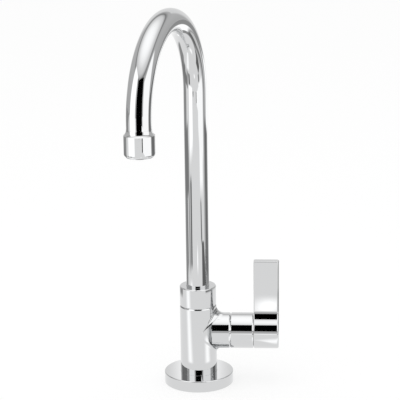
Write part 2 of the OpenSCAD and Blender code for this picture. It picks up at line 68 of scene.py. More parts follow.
ROUND_STEPS = 256  # steps round a polished piece
PLAIN_STEPS = 96  # steps round a plain core or a cutting bar
THREAD_STEPS = 48  # steps round one turn of the thread
SADDLE_STEPS = 28  # steps along a slice of the branch's root fillet
ARC_STEP = math.radians(9)  # about one step round a rounded corner
SHARP_ANGLE = math.radians(35)  # edges that bend more than this stay sharp
SKIN_GAP = 1e-6  # points nearer than this are one
SLICE_ROUNDS = 40  # rounds in which a slice of the root fillet settles
OVERLAP = 0.004 * MM  # depth to which the root fillet's edges sink into its neighbours
SADDLE_DEPTH = 1.6 * MM  # depth of the root fillet's hidden inner corner
HARD_EDGE = 1e-4  # share of a card's side that looks like no fading at all

# Bores, seats and ledges of the pieces: radii, heights above the deck and distances from the barrel's axis
FLANGE_HOLE = 13.55 * MM
GASKET_INNER = 20 * MM
GASKET_OUTER = 25 * MM
GASKET_DEPTH = 1.5 * MM
SEAT_DEPTH = 1 * MM
SPIGOT = 13.5 * MM
SPIGOT_FOOT = 0.6 * MM
SHANK_BORE = 10.48 * MM
SHANK_STOP = 14 * MM
RELIEF_BORE = 9.2 * MM
RELIEF_TOP = 18 * MM
WATERWAY = 3 * MM
SOCKET_BORE = 10.8 * MM
SOCKET_FLOOR = 58.2 * MM
NUT_SEAT = 13 * MM
NUT_SEAT_FLOOR = 75.7 * MM
NUT_SHELL = 13.03 * MM
NUT_HOLE = 9.55 * MM
NUT_CEILING = 80.3 * MM
VALVE_BORE = 10.2 * MM
BRANCH_BORE = 10.43 * MM
BRANCH_START = 11.5 * MM
AERATOR_BORE = 9.9 * MM
AERATOR_CEILING = 234.8 * MM
WATER_HOLE = 8.3 * MM
SLEEVE_WALL = 1.8 * MM
SLEEVE_COLLAR = 8.53 * MM
SLEEVE_COLLAR_ENDS = (30.6 * MM, 37 * MM)
HUB_RECESS = 11.5 * MM
SPINDLE_BORE = 4.03 * MM
GRUB_BORE = 2.53 * MM
GRUB_PLACE = 10 * MM
SHANK_HOLE = 6 * MM
THREAD_BREAK = (21.6 * MM, 24.2 * MM)


# Sizes and colours


def length(label, note, value):
    return FloatProperty(name=label, description=note, default=value, unit="LENGTH", precision=5)


def slant(label, note, degrees):
    return FloatProperty(name=label, description=note, default=math.radians(degrees), subtype="ANGLE")


def brightness(label, note, value, highest):
    return FloatProperty(name=label, description=note, default=value, min=0, max=highest)


def colour(label, note, value):
    return FloatVectorProperty(name=label, description=note, default=value, subtype="COLOR", min=0, max=1)


class TapBodySizes(bpy.types.PropertyGroup):
    flange_width: length("Flange width", "Diameter of the foot flange", FLANGE[1].x - FLANGE[0].x)
    flange_height: length("Flange height", "Height of the flange above the deck", FLANGE[1].z)
    flange_edge: length("Flange edge", "Radius of the flange's upper edge", 0.8 * MM)
    barrel_width: length("Barrel width", "Diameter of the upright barrel", 30.5 * MM)
    barrel_top: length("Barrel top", "Height of the barrel's shoulder", NUT[0].z)
    branch_width: length("Branch width", "Diameter of the side branch", SLEEVE[1].y - SLEEVE[0].y)
    branch_height: length("Branch height", "Height of the branch's axis", (SLEEVE[0].z + SLEEVE[1].z) / 2)
    branch_end: length("Branch end", "Distance of the branch's end from the barrel's axis", SLEEVE[0].x)
    top_root: length("Upper root radius", "Fillet above the branch", 7 * MM)
    bottom_root: length("Lower root radius", "Fillet below the branch", 4.5 * MM)
    joint_length: length("Joint chamfer length", "Length of the chamfers at the joints", 0.9 * MM)
    joint_depth: length("Joint chamfer depth", "Depth of the chamfers at the joints", 0.45 * MM)
    fine_edge: length("Fine edge", "Radius of the edges that are only broken", 0.12 * MM)


class SpoutSizes(bpy.types.PropertyGroup):
    tube_width: length("Tube width", "Diameter of the bent tube", 19 * MM)
    tube_wall: length("Tube wall", "Wall thickness of the bent tube", 1.2 * MM)
    tube_foot: length("Tube foot", "Height of the tube's lower end", 70.2 * MM)
    tube_end: length("Tube end", "Height of the tube's end in the outlet", 236.4 * MM)
    bend_start: length("Bend start", "Height at which the bend begins", 248.5 * MM)
    nut_width: length("Nut width", "Diameter of the spout nut", NUT[1].x - NUT[0].x)
    nut_edge: length("Nut edge", "Width of the chamfer on the nut's upper edge", 0.6 * MM)
    outlet_width: length("Outlet width", "Diameter of the outlet collar", COLLAR[1].x - COLLAR[0].x)
    outlet_height: length("Outlet height", "Straight height of the outlet collar", 16.3 * MM)
    outlet_neck: length("Outlet neck", "Height of the concave neck", 4.2 * MM)
    outlet_edge: length("Outlet edge", "Radius of the outlet's lower edge", 2.8 * MM)


class LeverSizes(bpy.types.PropertyGroup):
    blade_thickness: length("Blade thickness", "Thickness of the blade's upper end", 7 * MM)
    blade_taper: slant("Blade taper", "Spread of each face towards the hub", 4)
    blade_root: length("Blade root", "Radius where the blade meets the hub", 13 * MM)
    blade_edge: length("Blade edge", "Rounding along the blade's top", 0.6 * MM)
    hub_edge: length("Hub edge", "Radius of the hub's outer edge", 1.6 * MM)


class FixingSizes(bpy.types.PropertyGroup):
    thread_pitch: length("Thread pitch", "Distance from turn to turn of the shank's thread", 1.814 * MM)
    thread_depth: length("Thread depth", "Height of the thread's flanks", 0.9 * MM)


class TapFinishes(bpy.types.PropertyGroup):
    chrome: colour("Chrome", "Colour of the polished plating", (0.655, 0.66, 0.665))
    brass: colour("Brass", "Colour of the turned brass", (0.70, 0.46, 0.18))
    steel: colour("Steel", "Colour of the plain steel", (0.60, 0.60, 0.60))
    rubber: colour("Rubber", "Colour of the rubber rings", (0.022, 0.022, 0.024))
    slip_plastic: colour("Slip plastic", "Colour of the slip washers", (0.78, 0.78, 0.75))
    ceramic: colour("Ceramic", "Colour of the valve discs", (0.82, 0.81, 0.76))
    core_plastic: colour("Core plastic", "Colour of the aerator's core", (0.75, 0.77, 0.79))


class StudioSettings(bpy.types.PropertyGroup):
    floor_level: brightness("Floor level", "Grey of the floor in reflections", 1.0, 1)
    sky_level: brightness("Sky level", "Strength of the white tent that the camera sees", 1.0, 2)
    light_level: brightness("Light level", "Strength of the soft surrounding light", 0.95, 2)
    camera_turn: slant("Camera turn", "Direction of the camera round the tap", 4)


# Modelling steps that several pieces share


def clear_selection():
    if bpy.context.object and bpy.context.object.mode != "OBJECT":
        bpy.ops.object.mode_set(mode="OBJECT")
    bpy.ops.object.select_all(action="DESELECT")


def take(piece):
    clear_selection()
    piece.select_set(True)
    bpy.context.view_layer.objects.active = piece


def arc(middle, radius, start, end, steps):
    """Points of an arc, with its angles in degrees."""
    angles = [math.radians(start + (end - start) * k / steps) for k in range(steps + 1)]
    return [(middle[0] + radius * math.cos(a), middle[1] + radius * math.sin(a)) for a in angles]


def rounded(corners):
    """Corners as (distance, height, edge radius), turned into points. A corner with a radius becomes an arc."""
    points = []
    for i, (x, y, edge) in enumerate(corners):
        here = Vector((x, y))
        if edge <= 0:
            points.append((x, y))
            continue
        before = (Vector(corners[i - 1][:2]) - here).normalized()
        after = (Vector(corners[(i + 1) % len(corners)][:2]) - here).normalized()
        half = before.angle(after) / 2
        middle = here + (before + after).normalized() * edge / math.sin(half)
        first = here + before * edge / math.tan(half) - middle
        last = here + after * edge / math.tan(half) - middle
        start = math.atan2(first.y, first.x)
        sweep = (math.atan2(last.y, last.x) - start + math.pi) % (2 * math.pi) - math.pi
        steps = max(2, round(abs(sweep) / ARC_STEP))
        points += arc(middle, edge, math.degrees(start), math.degrees(start + sweep), steps)
    return points


def draw_outline(name, points):
    """Draws a closed outline: a small plane is merged into one point, which is extruded from place to place."""
    clear_selection()
    bpy.ops.mesh.primitive_plane_add(size=MM)
    piece = bpy.context.object
    piece.name = piece.data.name = name
    bpy.ops.object.mode_set(mode="EDIT")
    bpy.ops.mesh.select_mode(type="VERT")
    bpy.ops.mesh.select_all(action="SELECT")
    bpy.ops.mesh.merge(type="CENTER")
    bpy.ops.transform.translate(value=points[0])
    for here, there in zip(points, points[1:]):
        bpy.ops.mesh.extrude_region_move(TRANSFORM_OT_translate={"value": there - here})
    select_verts(piece, lambda v: len(v.link_edges) == 1)
    bpy.ops.mesh.edge_face_add()
    return piece


def deselect(mesh):
    for part in (mesh.faces, mesh.edges, mesh.verts):
        for item in part:
            item.select = False


def select_verts(piece, wanted):
    mesh = bmesh.from_edit_mesh(piece.data)
    deselect(mesh)
    for v in mesh.verts:
        v.select = wanted(v)
    mesh.select_flush(True)
    bmesh.update_edit_mesh(piece.data)


def select_edges(piece, wanted):
    deselect(bmesh.from_edit_mesh(piece.data))
    bpy.ops.mesh.select_mode(type="EDGE")
    mesh = bmesh.from_edit_mesh(piece.data)
    for e in mesh.edges:
        e.select = wanted(e)
    bmesh.update_edit_mesh(piece.data)


def select_faces(piece, wanted):
    bpy.ops.mesh.select_all(action="DESELECT")
    bpy.ops.mesh.select_mode(type="FACE")
    mesh = bmesh.from_edit_mesh(piece.data)
    for f in mesh.faces:
        f.select = wanted(f)
    bmesh.update_edit_mesh(piece.data)


def close_skin():
    bpy.ops.mesh.select_mode(type="VERT")
    bpy.ops.mesh.select_all(action="SELECT")
    bpy.ops.mesh.remove_doubles(threshold=SKIN_GAP)
    bpy.ops.mesh.normals_make_consistent(inside=False)


def turned(name, profile, middle=(0, 0, 0), along="Z", steps=ROUND_STEPS):
    """A turned piece: its outline is drawn beside the axis and spun once round it."""
    middle = Vector(middle)
    out, up = (RIGHT, UP) if along == "Z" else (UP, RIGHT)
    piece = draw_outline(name, [middle + out * r + up * h for r, h in profile])
    bpy.ops.mesh.select_all(action="SELECT")
    bpy.ops.mesh.spin(steps=steps, angle=2 * math.pi, center=middle, axis=up)
    close_skin()
    return piece


def bar(radius, start, end, middle, along):
    """A plain bar to cut with."""
    clear_selection()
    direction, turn = (UP, (0, 0, 0)) if along == "Z" else (RIGHT, (0, math.pi / 2, 0))
    bpy.ops.mesh.primitive_cylinder_add(
        vertices=PLAIN_STEPS, radius=radius, depth=end - start,
        location=Vector(middle) + direction * (start + end) / 2, rotation=turn,
    )
    return bpy.context.object


def cut_out(piece, *cutters):
    for cutter in cutters:
        take(piece)
        bpy.ops.object.modifier_add(type="BOOLEAN")
        modifier = piece.modifiers[-1]
        modifier.operation = "DIFFERENCE"
        modifier.solver = "EXACT"
        modifier.object = cutter
        bpy.ops.object.modifier_apply(modifier=modifier.name)
        bpy.data.objects.remove(cutter)


def join(piece, *others):
    take(piece)
    for other in others:
        other.select_set(True)
    bpy.ops.object.join()


def dress(piece, body, slot, nodes):
    """Smooths a finished piece, keeps its flat faces flat, and puts it on its body of the frame."""
    take(piece)
    bpy.ops.object.shade_smooth_by_angle(angle=SHARP_ANGLE)
    bpy.ops.object.modifier_add(type="WEIGHTED_NORMAL")
    modifier = piece.modifiers[-1]
    modifier.keep_sharp = True
    modifier.weight = 100
    bpy.ops.object.modifier_apply(modifier=modifier.name)
    piece.data.materials.clear()
    piece.data.materials.append(finish(slot))
    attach(piece, body)
    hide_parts(*nodes)


# Materials


def node(tree, kind, place, **values):
    made = tree.nodes.new(kind)
    made.location = place
    for key, value in values.items():
        setattr(made, key, value)
    return made


def grain_group():
    """Fine grain: a value between two limits and a height, both from noise over the surface."""
    found = bpy.data.node_groups.get("Fine grain")
    if found:
        return found
    group = bpy.data.node_groups.new("Fine grain", "ShaderNodeTree")
    for label in ("Scale", "Low", "High"):
        group.interface.new_socket(name=label, in_out="INPUT", socket_type="NodeSocketFloat")
    group.interface.new_socket(name="Value", in_out="OUTPUT", socket_type="NodeSocketFloat")
    group.interface.new_socket(name="Height", in_out="OUTPUT", socket_type="NodeSocketFloat")
    entry = node(group, "NodeGroupInput", (-600, 0))
    leave = node(group, "NodeGroupOutput", (400, 0))
    place = node(group, "ShaderNodeTexCoord", (-600, -200))
    noise = node(group, "ShaderNodeTexNoise", (-350, 0))
    noise.inputs["Detail"].default_value = 3
    spread = node(group, "ShaderNodeMapRange", (50, 0))
    spread.inputs["From Min"].default_value = 0.3
    spread.inputs["From Max"].default_value = 0.7
    group.links.new(place.outputs["Object"], noise.inputs["Vector"])
    group.links.new(entry.outputs["Scale"], noise.inputs["Scale"])
    group.links.new(noise.outputs["Fac"], spread.inputs["Value"])
    group.links.new(entry.outputs["Low"], spread.inputs["To Min"])
    group.links.new(entry.outputs["High"], spread.inputs["To Max"])
    group.links.new(spread.outputs["Result"], leave.inputs["Value"])
    group.links.new(noise.outputs["Fac"], leave.inputs["Height"])
    return group


def tone_group():
    """Tone: a colour that shifts a little between a base and a shade over the surface."""
    found = bpy.data.node_groups.get("Tone")
    if found:
        return found
    group = bpy.data.node_groups.new("Tone", "ShaderNodeTree")
    for label in ("Base", "Shade"):
        group.interface.new_socket(name=label, in_out="INPUT", socket_type="NodeSocketColor")
    group.interface.new_socket(name="Scale", in_out="INPUT", socket_type="NodeSocketFloat")
    group.interface.new_socket(name="Colour", in_out="OUTPUT", socket_type="NodeSocketColor")
    entry = node(group, "NodeGroupInput", (-600, 0))
    leave = node(group, "NodeGroupOutput", (400, 0))
    place = node(group, "ShaderNodeTexCoord", (-600, -200))
    noise = node(group, "ShaderNodeTexNoise", (-350, 0))
    noise.inputs["Detail"].default_value = 4
    mix = node(group, "ShaderNodeMix", (150, 0), data_type="RGBA")
    group.links.new(place.outputs["Object"], noise.inputs["Vector"])
    group.links.new(entry.outputs["Scale"], noise.inputs["Scale"])
    group.links.new(noise.outputs["Fac"], mix.inputs["Factor"])
    group.links.new(entry.outputs["Base"], mix.inputs["A"])
    group.links.new(entry.outputs["Shade"], mix.inputs["B"])
    group.links.new(mix.outputs["Result"], leave.inputs["Colour"])
    return group


# Finishes by the name of their colour: material, shade as a share of the colour, metallic, limits of the
# roughness, scale of the grain, height of its bump and scale of the shifts in tone
FINISHES = {
    "chrome": ("Polished chrome", 0.985, 1, (0.015, 0.035), 500, 0, 40),
    "brass": ("Turned brass", 0.8, 1, (0.22, 0.36), 900, 2e-6, 60),
    "steel": ("Plain steel", 0.85, 1, (0.25, 0.4), 1100, 2e-6, 60),
    "rubber": ("Black rubber", 1.6, 0, (0.55, 0.75), 1500, 1e-5, 60),
    "slip_plastic": ("Slip plastic", 0.94, 0, (0.35, 0.5), 900, 3e-6, 60),
    "ceramic": ("Valve ceramic", 0.96, 0, (0.12, 0.2), 1500, 0, 60),
    "core_plastic": ("Core plastic", 0.94, 0, (0.3, 0.45), 900, 3e-6, 60),
}


def finish(kind):
    """A finish of one surface, made once: its colour and shade, its fine grain, and a bump where it has one."""
    name, share, metallic, rough, grain, bump, tone = FINISHES[kind]
    found = bpy.data.materials.get(name)
    if found:
        return found
    tint = getattr(bpy.context.scene.tap_finishes, kind)
    material = bpy.data.materials.new(name)
    material.use_nodes = True
    tree = material.node_tree
    shader = tree.nodes["Principled BSDF"]
    shader.inputs["Metallic"].default_value = metallic
    colours = node(tree, "ShaderNodeGroup", (-500, 300), node_tree=tone_group())
    colours.inputs["Base"].default_value = (*tint, 1)
    colours.inputs["Shade"].default_value = (*(part * share for part in tint), 1)
    colours.inputs["Scale"].default_value = tone
    tree.links.new(colours.outputs["Colour"], shader.inputs["Base Color"])
    fine = node(tree, "ShaderNodeGroup", (-500, 0), node_tree=grain_group())
    for label, value in (("Scale", grain), ("Low", rough[0]), ("High", rough[1])):
        fine.inputs[label].default_value = value
    tree.links.new(fine.outputs["Value"], shader.inputs["Roughness"])
    if bump > 0:
        height = node(tree, "ShaderNodeBump", (-250, -200))
        height.inputs["Strength"].default_value = 1.0
        height.inputs["Distance"].default_value = bump
        tree.links.new(fine.outputs["Height"], height.inputs["Height"])
        tree.links.new(height.outputs["Normal"], shader.inputs["Normal"])
    return material


# Body


class TAP_OT_flange(bpy.types.Operator):
    """Turns the round foot flange with its recesses for the gasket and the body"""

    bl_idname = "tap.flange"
    bl_label = "Foot flange"

    def execute(self, context):
        s = context.scene.tap_body_sizes
        outer, foot, fine = s.flange_width / 2, 0.4 * MM, s.fine_edge
        seat, seat_floor = s.barrel_width / 2 + 0.05 * MM, s.flange_height - SEAT_DEPTH
        piece = turned("foot_flange", rounded([
            (FLANGE_HOLE, 0, 0), (GASKET_INNER, 0, 0), (GASKET_INNER, GASKET_DEPTH, 0),
            (GASKET_OUTER, GASKET_DEPTH, 0), (GASKET_OUTER, 0, 0), (outer - foot, 0, fine), (outer, foot, fine),
            (outer, s.flange_height, s.flange_edge), (seat, s.flange_height, fine),
            (seat, seat_floor, 0), (FLANGE_HOLE, seat_floor, 0),
        ]))
        dress(piece, "body", "chrome", ["base_flange"])
        return {"FINISHED"}


def root_slice(s, angle):
    """One slice of the branch's root fillet: [distance from the barrel's axis, distance from the branch's axis].
    An arc touches the branch's side and the ellipse in which the slice cuts the barrel."""
    sine = abs(math.sin(angle))
    barrel, branch = s.barrel_width / 2, s.branch_width / 2
    radius = (s.top_root + s.bottom_root) / 2 + (s.top_root - s.bottom_root) / 2 * math.cos(angle)
    t = branch + radius
    for _ in range(SLICE_ROUNDS):
        w = t * sine / barrel
        slope = math.sqrt(1 - w * w * (1 - sine * sine))
        t = (branch + radius) / (1 + radius * sine * sine / (barrel * slope))
    w = t * sine / barrel
    x = barrel * math.sqrt(1 - w * w)
    slope = math.sqrt(1 - w * w * (1 - sine * sine))
    nx, nt = math.sqrt(1 - w * w) / slope, sine * w / slope
    middle = (x + radius * nx, branch + radius)
    start = 180 + math.degrees(math.atan2(nt, nx))
    points = [list(p) for p in arc(middle, radius, start, 270, SADDLE_STEPS)]
    points[0][0] -= OVERLAP * nx
    points[0][1] -= OVERLAP * nt
    points[-1][1] -= OVERLAP
    return points + [[x - SADDLE_DEPTH, branch - SADDLE_DEPTH]]


def root_fillet(s):
    """The saddle between barrel and branch: a ring is extruded step by step, and each step is laid on the slices."""
    clear_selection()
    bpy.ops.mesh.primitive_circle_add(
        vertices=ROUND_STEPS, radius=s.branch_width / 2, rotation=(0, math.pi / 2, 0),
    )
    bpy.ops.object.transform_apply(location=True, rotation=True, scale=True)
    piece = bpy.context.object
    bpy.ops.object.mode_set(mode="EDIT")
    bpy.ops.mesh.select_all(action="SELECT")
    for k in range(SADDLE_STEPS + 2):
        if k:
            bpy.ops.mesh.extrude_region_move()
        mesh = bmesh.from_edit_mesh(piece.data)
        for v in mesh.verts:
            if v.select:
                angle = math.atan2(v.co.y, v.co.z) if k == 0 else math.atan2(v.co.y, v.co.z - s.branch_height)
                x, t = root_slice(s, angle)[k]
                v.co = (x, t * math.sin(angle), s.branch_height + t * math.cos(angle))
        bmesh.update_edit_mesh(piece.data)
    select_edges(piece, lambda e: e.is_boundary)
    bpy.ops.mesh.bridge_edge_loops()
    close_skin()
    return piece


class TAP_OT_body(bpy.types.Operator):
    """Turns the barrel and the side branch, bores them and lays the root fillet between them"""

    bl_idname = "tap.body"
    bl_label = "Barrel and branch"

    def execute(self, context):
        s = context.scene.tap_body_sizes
        r, top, fine = s.barrel_width / 2, s.barrel_top, s.fine_edge
        low = s.flange_height - SEAT_DEPTH
        barrel = turned("tap_barrel", rounded([
            (SHANK_BORE, SPIGOT_FOOT, 0), (SPIGOT, SPIGOT_FOOT, 0), (SPIGOT, low, 0), (r, low, 0),
            (r, top - s.joint_length, fine), (r - s.joint_depth, top, fine),
            (NUT_SEAT, top, 0), (NUT_SEAT, NUT_SEAT_FLOOR, 0), (SOCKET_BORE, NUT_SEAT_FLOOR, 0),
            (SOCKET_BORE, SOCKET_FLOOR, 0), (WATERWAY, SOCKET_FLOOR, 0), (WATERWAY, RELIEF_TOP, 0),
            (RELIEF_BORE, RELIEF_TOP, 0), (RELIEF_BORE, SHANK_STOP, 0), (SHANK_BORE, SHANK_STOP, 0),
        ]))
        axis = (0, 0, s.branch_height)
        cut_out(barrel, bar(VALVE_BORE, 4 * MM, 30 * MM, axis, "X"))
        b, lead = s.branch_width / 2, 0.6 * MM
        branch = turned("tap_branch", rounded([
            (BRANCH_BORE, BRANCH_START, 0), (b - lead, BRANCH_START, 0), (b, BRANCH_START + lead, 0),
            (b, s.branch_end - s.joint_length, fine), (b - s.joint_depth, s.branch_end, fine),
            (BRANCH_BORE, s.branch_end, 0),
        ]), axis, "X")
        saddle = root_fillet(s)
        for piece in (barrel, branch, saddle):
            take(piece)
            bpy.ops.object.shade_smooth_by_angle(angle=SHARP_ANGLE)
        join(barrel, branch, saddle)
        barrel.name = barrel.data.name = "barrel_and_branch"
        dress(barrel, "body", "chrome", ["tap_body"])
        return {"FINISHED"}


# Spout


class TAP_OT_spout_nut(bpy.types.Operator):
    """Turns the ring nut that holds the swivelling spout"""

    bl_idname = "tap.spout_nut"
    bl_label = "Spout nut"

    def execute(self, context):
        s, b = context.scene.tap_spout_sizes, context.scene.tap_body_sizes
        r, low, top = s.nut_width / 2, NUT[0].z, NUT[1].z
        piece = turned("ring_nut", rounded([
            (NUT_SHELL, low, 0), (r - b.joint_depth, low, b.fine_edge), (r, low + b.joint_length, b.fine_edge),
            (r, top - s.nut_edge, 0.3 * MM), (r - s.nut_edge, top, 0.3 * MM),
            (NUT_HOLE, top, 0.2 * MM), (NUT_HOLE, NUT_CEILING, 0), (NUT_SHELL, NUT_CEILING, 0),
        ]))
        dress(piece, "body", "chrome", ["spout_nut"])
        return {"FINISHED"}


class TAP_OT_gooseneck(bpy.types.Operator):
    """Bends the spout's tube: a ring is drawn up, spun over the top and drawn down to the outlet"""

    bl_idname = "tap.gooseneck"
    bl_label = "Gooseneck tube"

    def execute(self, context):
        s = context.scene.tap_spout_sizes
        clear_selection()
        bpy.ops.mesh.primitive_circle_add(
            vertices=ROUND_STEPS // 2, radius=s.tube_width / 2, location=(0, 0, s.tube_foot),
        )
        bpy.ops.object.transform_apply(location=True, rotation=True, scale=True)
        piece = bpy.context.object
        piece.name = piece.data.name = "gooseneck"
        reach = Vector((COLLAR_AXIS.x, COLLAR_AXIS.y, 0))
        bpy.ops.object.mode_set(mode="EDIT")
        bpy.ops.mesh.select_all(action="SELECT")
        bpy.ops.mesh.extrude_region_move(TRANSFORM_OT_translate={"value": (0, 0, s.bend_start - s.tube_foot)})
        across = UP.cross(reach.normalized())
        bpy.ops.mesh.spin(
            steps=ROUND_STEPS // 2, angle=math.pi, center=reach / 2 + UP * s.bend_start, axis=-across,
        )
        turned_down = s.bend_start + SKIN_GAP
        select_verts(piece, lambda v: (v.co.xy - reach.xy).length < s.tube_width and v.co.z < turned_down)
        bpy.ops.mesh.extrude_region_move(TRANSFORM_OT_translate={"value": (0, 0, s.tube_end - s.bend_start)})
        close_skin()
        # The skin has to face outwards, because the wall is added on its inner side
        mesh = bmesh.from_edit_mesh(piece.data)
        faces = [(f.normal.xy, f.calc_center_median()) for f in mesh.faces]
        riser = [normal.dot(place.xy) > 0 for normal, place in faces
                 if place.z < s.bend_start and place.xy.length < s.tube_width]
        if riser.count(True) < riser.count(False):
            bpy.ops.mesh.flip_normals()
        bpy.ops.object.mode_set(mode="OBJECT")
        bpy.ops.object.modifier_add(type="SOLIDIFY")
        modifier = piece.modifiers[-1]
        modifier.thickness = s.tube_wall
        modifier.offset = -1
        modifier.use_even_offset = True
        bpy.ops.object.modifier_apply(modifier=modifier.name)
        dress(piece, "spout", "chrome", ["spout_tube"])
        return {"FINISHED"}


class TAP_OT_outlet(bpy.types.Operator):
    """Turns the outlet collar with its concave neck and rounded lower rim"""

    bl_idname = "tap.outlet"
    bl_label = "Outlet collar"

    def execute(self, context):
        s = context.scene.tap_spout_sizes
        r, low = s.outlet_width / 2, COLLAR[0].z
        tube = s.tube_width / 2
        shoulder = low + s.outlet_height
        neck_foot = tube + 0.15 * MM
        neck_w = r - neck_foot
        neck_r = (neck_w ** 2 + s.outlet_neck ** 2) / (2 * neck_w)
        spread = math.degrees(math.asin(s.outlet_neck / neck_r))
        neck = arc((neck_foot + neck_r, shoulder + s.outlet_neck), neck_r, 180 + spread, 180, 14)
        bore = tube + 0.03 * MM
        profile = rounded([(AERATOR_BORE, low, 0.2 * MM), (r, low, s.outlet_edge), (r, shoulder - 0.2 * MM, 0)])
        profile += neck
        profile += [
            (bore, shoulder + s.outlet_neck), (bore, s.tube_end), (WATER_HOLE, s.tube_end),
            (WATER_HOLE, AERATOR_CEILING), (AERATOR_BORE, AERATOR_CEILING),
        ]
        piece = turned("outlet", profile, (COLLAR_AXIS.x, COLLAR_AXIS.y, 0))
        dress(piece, "spout", "chrome", ["outlet_collar"])
        return {"FINISHED"}


# Valve sleeve and lever


class TAP_OT_sleeve(bpy.types.Operator):
    """Turns the fixed sleeve between the branch and the lever's hub"""

    bl_idname = "tap.sleeve"
    bl_label = "Valve sleeve"

    def execute(self, context):
        b = context.scene.tap_body_sizes
        r, start, end = b.branch_width / 2, SLEEVE[0].x, SLEEVE[1].x
        bore = r - SLEEVE_WALL
        collar_start, collar_end = SLEEVE_COLLAR_ENDS
        piece = turned("sleeve", rounded([
            (bore, start, 0), (r - b.joint_depth, start, b.fine_edge), (r, start + b.joint_length, b.fine_edge),
            (r, end - b.joint_length, b.fine_edge), (r - b.joint_depth, end, b.fine_edge),
            (bore, end, 0), (bore, collar_end, 0), (SLEEVE_COLLAR, collar_end, 0),
            (SLEEVE_COLLAR, collar_start, 0), (bore, collar_start, 0),
        ]), (0, 0, b.branch_height), "X")
        dress(piece, "body", "chrome", ["valve_sleeve"])
        return {"FINISHED"}


class TAP_OT_lever(bpy.types.Operator):
    """Draws the lever's side outline, hub and blade in one, extrudes it to its width and rounds its edges"""

    bl_idname = "tap.lever"
    bl_label = "Lever"

    def execute(self, context):
        s, b = context.scene.tap_lever_sizes, context.scene.tap_body_sizes
        r, half, root = b.branch_width / 2, s.blade_thickness / 2, s.blade_root
        top = LEVER[1].z - b.branch_height
        start, end = LEVER[0].x, LEVER[1].x
        # The root arc touches the tapered face and the hub: its middle lies off the face's line and up along it
        face = Vector((math.cos(s.blade_taper), math.sin(s.blade_taper)))
        off = root + half * face.x + top * face.y
        middle = face * off + Vector((-face.y, face.x)) * math.sqrt((r + root) ** 2 - off ** 2)
        meet = math.degrees(math.atan2(middle.y, middle.x))
        taper = math.degrees(s.blade_taper)
        foot = half + (top - middle.y) * math.tan(s.blade_taper)
        blade = [(-foot, middle.y, 0), (-half, top, s.blade_edge), (half, top, s.blade_edge), (foot, middle.y, 0)]
        outline = rounded(blade)[1:-1]
        outline += arc(middle, root, 180 + taper, 180 + meet, 24)
        outline += arc((0, 0), r, meet, -180 - meet, 170)[1:-1]
        outline += arc((-middle.x, middle.y), root, 360 - meet, 360 - taper, 24)
        x0 = start + b.joint_length
        points = [Vector((x0, y, z + b.branch_height)) for y, z in outline]
        piece = draw_outline("lever", points)
        bpy.ops.mesh.select_all(action="SELECT")
        bpy.ops.mesh.edge_face_add()
        bpy.ops.mesh.extrude_region_move(TRANSFORM_OT_translate={"value": (end - x0, 0, 0)})
        close_skin()
        select_edges(piece, lambda e: all(abs(v.co.x - end) < SKIN_GAP for v in e.verts))
        bpy.ops.mesh.bevel(offset=s.hub_edge, segments=8, profile=0.5, affect="EDGES", clamp_overlap=False)
        select_faces(piece, lambda f: f.normal.x < -0.99)
        bpy.ops.mesh.inset(thickness=b.joint_depth, depth=b.joint_length)
        axis = (0, 0, b.branch_height)
        close_skin()
        bpy.ops.object.mode_set(mode="OBJECT")
        grub = (start + GRUB_PLACE, 0, 0)
        cut_out(
            piece,
            bar(HUB_RECESS, start - MM, start + 5 * MM, axis, "X"),
            bar(SPINDLE_BORE, start + 4 * MM, start + 15 * MM, axis, "X"),
            bar(GRUB_BORE, b.branch_height - r - MM, b.branch_height - MM, grub, "Z"),
        )
        dress(piece, "lever", "chrome", ["lever_handle"])
        return {"FINISHED"}


# Shank and inner parts


class TAP_OT_shank(bpy.types.Operator):
    """Turns the shank's bored core and winds its thread round it"""

    bl_idname = "tap.shank"
    bl_label = "Threaded shank"

    def execute(self, context):
        s = context.scene.tap_fixing_sizes
        crest = (SHANK[1].x - SHANK[0].x) / 2
        root = crest - s.thread_depth
        low, top = SHANK[0].z, SHANK[1].z
        core = turned("shank", rounded([
            (SHANK_HOLE, low, 0.3 * MM), (root - 0.3 * MM, low, 0.2 * MM), (root, low + 0.5 * MM, 0),
            (root, top - 0.5 * MM, 0), (root - 0.3 * MM, top, 0), (SHANK_HOLE, top, 0),
        ]), steps=PLAIN_STEPS)
        pitch = s.thread_pitch
        flank, ridge = pitch * 0.46, 0.1 * MM
        foot, tip = root - 0.1 * MM, crest - 0.05 * MM
        section = [(foot, -flank), (root, -flank), (tip, -ridge), (tip, ridge), (root, flank), (foot, flank)]
        stop, restart = THREAD_BREAK
        pieces = []
        for start, end in ((low + MM, low + stop), (low + restart, top - MM)):
            turns = int((end - start - pitch) / pitch)
            points = [Vector((r, 0, start + pitch / 2 + h)) for r, h in section]
            thread = draw_outline("thread", points)
            bpy.ops.object.mode_set(mode="OBJECT")
            bpy.ops.object.modifier_add(type="SCREW")
            modifier = thread.modifiers[-1]
            modifier.screw_offset = pitch
            modifier.iterations = turns
            modifier.steps = modifier.render_steps = THREAD_STEPS
            bpy.ops.object.modifier_apply(modifier=modifier.name)
            bpy.ops.object.mode_set(mode="EDIT")
            close_skin()
            bpy.ops.mesh.select_mode(type="EDGE")
            bpy.ops.mesh.select_all(action="DESELECT")
            bpy.ops.mesh.select_non_manifold()
            bpy.ops.mesh.edge_face_add()
            close_skin()
            pieces.append(thread)
        join(core, *pieces)
        dress(core, "body", "brass", ["threaded_shank"])
        return {"FINISHED"}


